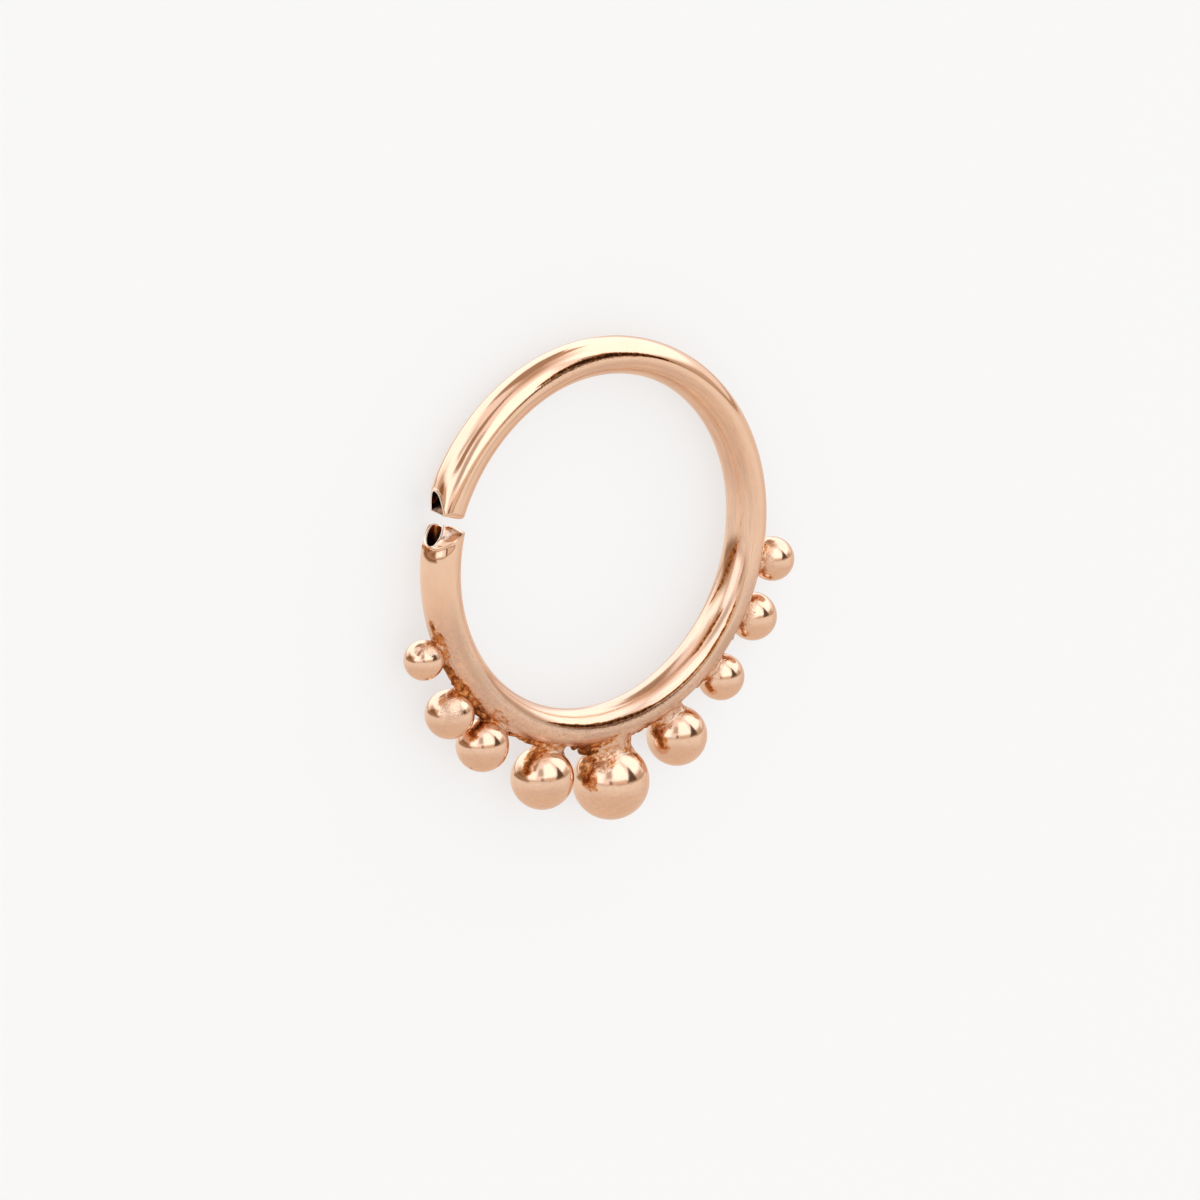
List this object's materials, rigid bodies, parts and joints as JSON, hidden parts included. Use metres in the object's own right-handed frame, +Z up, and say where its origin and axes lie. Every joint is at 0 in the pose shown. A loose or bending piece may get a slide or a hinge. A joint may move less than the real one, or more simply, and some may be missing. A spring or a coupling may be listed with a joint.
{
  "type": "helix hoop",
  "caption": "Small split ear hoop of polished rose gold tube with a row of graduated round beads soldered along its outer side.",
  "frame": {"origin": "on the surface that the hoop lies on, below the middle of its outline", "axes": "+Z up from that surface, near the hoop's own axis; -Y towards the largest bead; the gap is on the -X side"},
  "size_m": [0.0112, 0.0116, 0.0018],
  "materials": {
    "rose_gold": "polished rose gold with dark solder stains"
  },
  "bodies": {
    "root": {"hoop": "rose_gold"}
  },
  "joints": []
}
